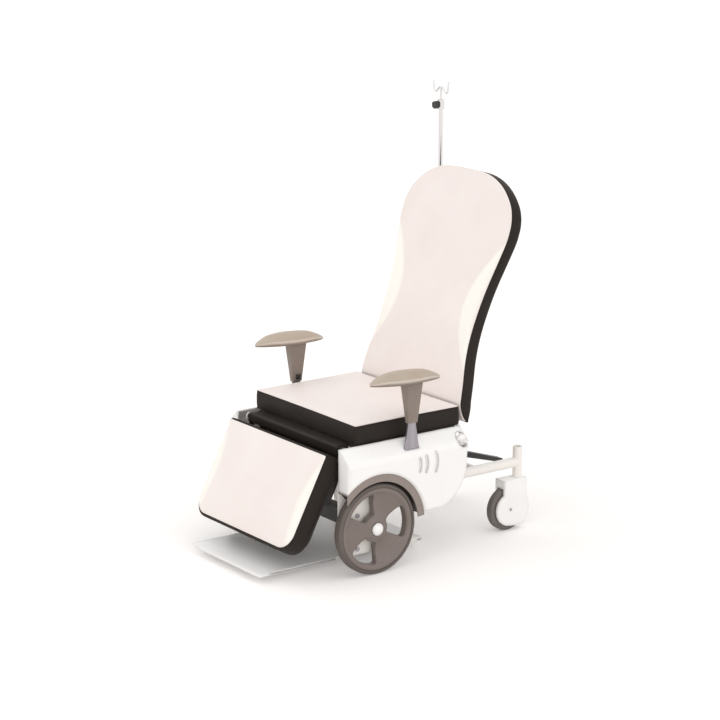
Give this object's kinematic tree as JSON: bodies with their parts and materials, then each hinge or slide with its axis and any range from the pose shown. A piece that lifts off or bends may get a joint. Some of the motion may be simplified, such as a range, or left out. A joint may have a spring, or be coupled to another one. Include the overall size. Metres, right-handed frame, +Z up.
{
  "type": "patient transport chair",
  "caption": "Reclining patient transport chair with padded seat, back and legrest, adjustable armrests, large front wheels, rear casters, foot platform and infusion pole",
  "frame": {"origin": "floor level below the middle of the chair's length and width", "axes": "+X is the patient's left, -Y is the way the patient faces, +Z is up"},
  "size_m": [0.726, 1.123, 1.4545],
  "materials": {
    "vinyl_white": "vinyl-coated fabric over foam",
    "vinyl_black": "vinyl-coated fabric over foam",
    "frame_white": "powder coat",
    "frame_dark": "powder coat",
    "cover_white": "satin moulded",
    "arch_grey": "fine grained",
    "rim_grey": "fine grained",
    "tyre_grey": "smooth tread",
    "caster_rubber": "smooth tread",
    "steel": "brushed",
    "chrome": "polished",
    "arm_taupe": "soft touch",
    "board_wood": "plywood sealed dark",
    "shell_black": "grained",
    "control_black": "fine grained",
    "grip_rubber": "soft"
  },
  "bodies": {
    "chassis": {"seat_top_panel": "vinyl_white", "seat_cushion": "vinyl_black", "front_apron": "vinyl_black", "seat_frame": "frame_white", "cross_tubes": "frame_white", "wheel_plate_left": "frame_white", "wheel_plate_right": "frame_white", "side_frame_left": "frame_white", "side_frame_right": "frame_white", "platform_guide_left": "frame_white", "platform_guide_right": "frame_white", "front_axle_beam": "frame_dark", "side_cover_left": "cover_white", "side_cover_right": "cover_white", "wheel_arch_left": "arch_grey", "wheel_arch_right": "arch_grey", "plate_bolts": "steel", "hinge_pins": "steel", "armrest_bracket_left": "steel", "armrest_bracket_right": "steel", "front_axle_left": "steel", "front_axle_right": "steel", "iv_pole": "chrome", "seat_board": "board_wood"},
    "backrest": {"back_shell": "shell_black", "back_cushion": "vinyl_black", "back_front_panel": "vinyl_white", "back_frame": "frame_dark", "push_handle": "chrome", "push_grip": "grip_rubber"},
    "legrest": {"legrest_frame": "shell_black", "legrest_cushion": "vinyl_black", "legrest_front_panel": "vinyl_white"},
    "foot_platform": {"foot_platform": "cover_white"},
    "iv_rod": {"iv_hook_rod": "chrome"},
    "iv_knob": {"iv_clamp_knob": "control_black"},
    "brake_pedal": {"brake_pedal": "control_black"},
    "recline_lever": {"recline_lever": "cover_white"},
    "armrest_left": {"armrest_sleeve_left": "arm_taupe", "armrest_pad_left": "arm_taupe"},
    "armrest_button_left": {"armrest_button_left": "control_black"},
    "front_wheel_left": {"front_tyre_left": "tyre_grey", "front_rim_left": "rim_grey", "front_bearing_left": "steel", "axle_cap_left": "cover_white"},
    "caster_left": {"caster_fork_left": "cover_white", "caster_axle_left": "steel"},
    "caster_wheel_left": {"caster_tyre_left": "caster_rubber", "caster_core_left": "control_black"},
    "armrest_right": {"armrest_sleeve_right": "arm_taupe", "armrest_pad_right": "arm_taupe"},
    "armrest_button_right": {"armrest_button_right": "control_black"},
    "front_wheel_right": {"front_tyre_right": "tyre_grey", "front_rim_right": "rim_grey", "front_bearing_right": "steel", "axle_cap_right": "cover_white"},
    "caster_right": {"caster_fork_right": "cover_white", "caster_axle_right": "steel"},
    "caster_wheel_right": {"caster_tyre_right": "caster_rubber", "caster_core_right": "control_black"}
  },
  "joints": [
    {"name": "backrest_recline", "type": "hinge", "parent": "chassis", "child": "backrest", "pos_m": [0, 0.222, 0.394], "axis": [-1, 0, 0], "range_deg": [0, 45]},
    {"name": "legrest_lift", "type": "hinge", "parent": "chassis", "child": "legrest", "pos_m": [0, -0.28, 0.403], "axis": [-1, 0, 0], "range_deg": [0, 60]},
    {"name": "platform_slide", "type": "slide", "parent": "chassis", "child": "foot_platform", "axis": [0, 1, 0], "range_m": [0, 0.24]},
    {"name": "iv_pole_extend", "type": "slide", "parent": "chassis", "child": "iv_rod", "axis": [0, 0, 1], "range_m": [0, 0.4]},
    {"name": "iv_clamp_turn", "type": "hinge", "parent": "chassis", "child": "iv_knob", "pos_m": [-0.31, 0.549, 1.373], "axis": [0, -1, 0], "range_deg": [0, 360]},
    {"name": "brake_pedal_press", "type": "hinge", "parent": "chassis", "child": "brake_pedal", "pos_m": [0.07, 0.3, 0.262], "axis": [-1, 0, 0], "range_deg": [0, 12]},
    {"name": "recline_lever_lift", "type": "hinge", "parent": "chassis", "child": "recline_lever", "pos_m": [0.3, 0.147, 0.388], "axis": [1, 0, 0], "range_deg": [0, 20], "stiffness_Nm_per_rad": 0.6},
    {"name": "armrest_left_height", "type": "slide", "parent": "chassis", "child": "armrest_left", "axis": [0, 0, 1], "range_m": [0, 0.06]},
    {"name": "armrest_left_release", "type": "slide", "parent": "armrest_left", "child": "armrest_button_left", "axis": [1, 0, 0], "range_m": [0, 0.003], "stiffness_N_per_m": 600},
    {"name": "front_wheel_left_spin", "type": "hinge", "parent": "chassis", "child": "front_wheel_left", "pos_m": [0.314, -0.194, 0.15], "axis": [1, 0, 0], "continuous": true},
    {"name": "caster_left_swivel", "type": "hinge", "parent": "chassis", "child": "caster_left", "pos_m": [0.215, 0.477, 0.2], "axis": [0, 0, 1], "continuous": true},
    {"name": "caster_left_roll", "type": "hinge", "parent": "caster_left", "child": "caster_wheel_left", "pos_m": [0.215, 0.429, 0.075], "axis": [1, 0, 0], "continuous": true},
    {"name": "armrest_right_height", "type": "slide", "parent": "chassis", "child": "armrest_right", "axis": [0, 0, 1], "range_m": [0, 0.06]},
    {"name": "armrest_right_release", "type": "slide", "parent": "armrest_right", "child": "armrest_button_right", "axis": [-1, 0, 0], "range_m": [0, 0.003], "stiffness_N_per_m": 600},
    {"name": "front_wheel_right_spin", "type": "hinge", "parent": "chassis", "child": "front_wheel_right", "pos_m": [-0.314, -0.194, 0.15], "axis": [1, 0, 0], "continuous": true},
    {"name": "caster_right_swivel", "type": "hinge", "parent": "chassis", "child": "caster_right", "pos_m": [-0.215, 0.477, 0.2], "axis": [0, 0, 1], "continuous": true},
    {"name": "caster_right_roll", "type": "hinge", "parent": "caster_right", "child": "caster_wheel_right", "pos_m": [-0.215, 0.429, 0.075], "axis": [1, 0, 0], "continuous": true}
  ]
}
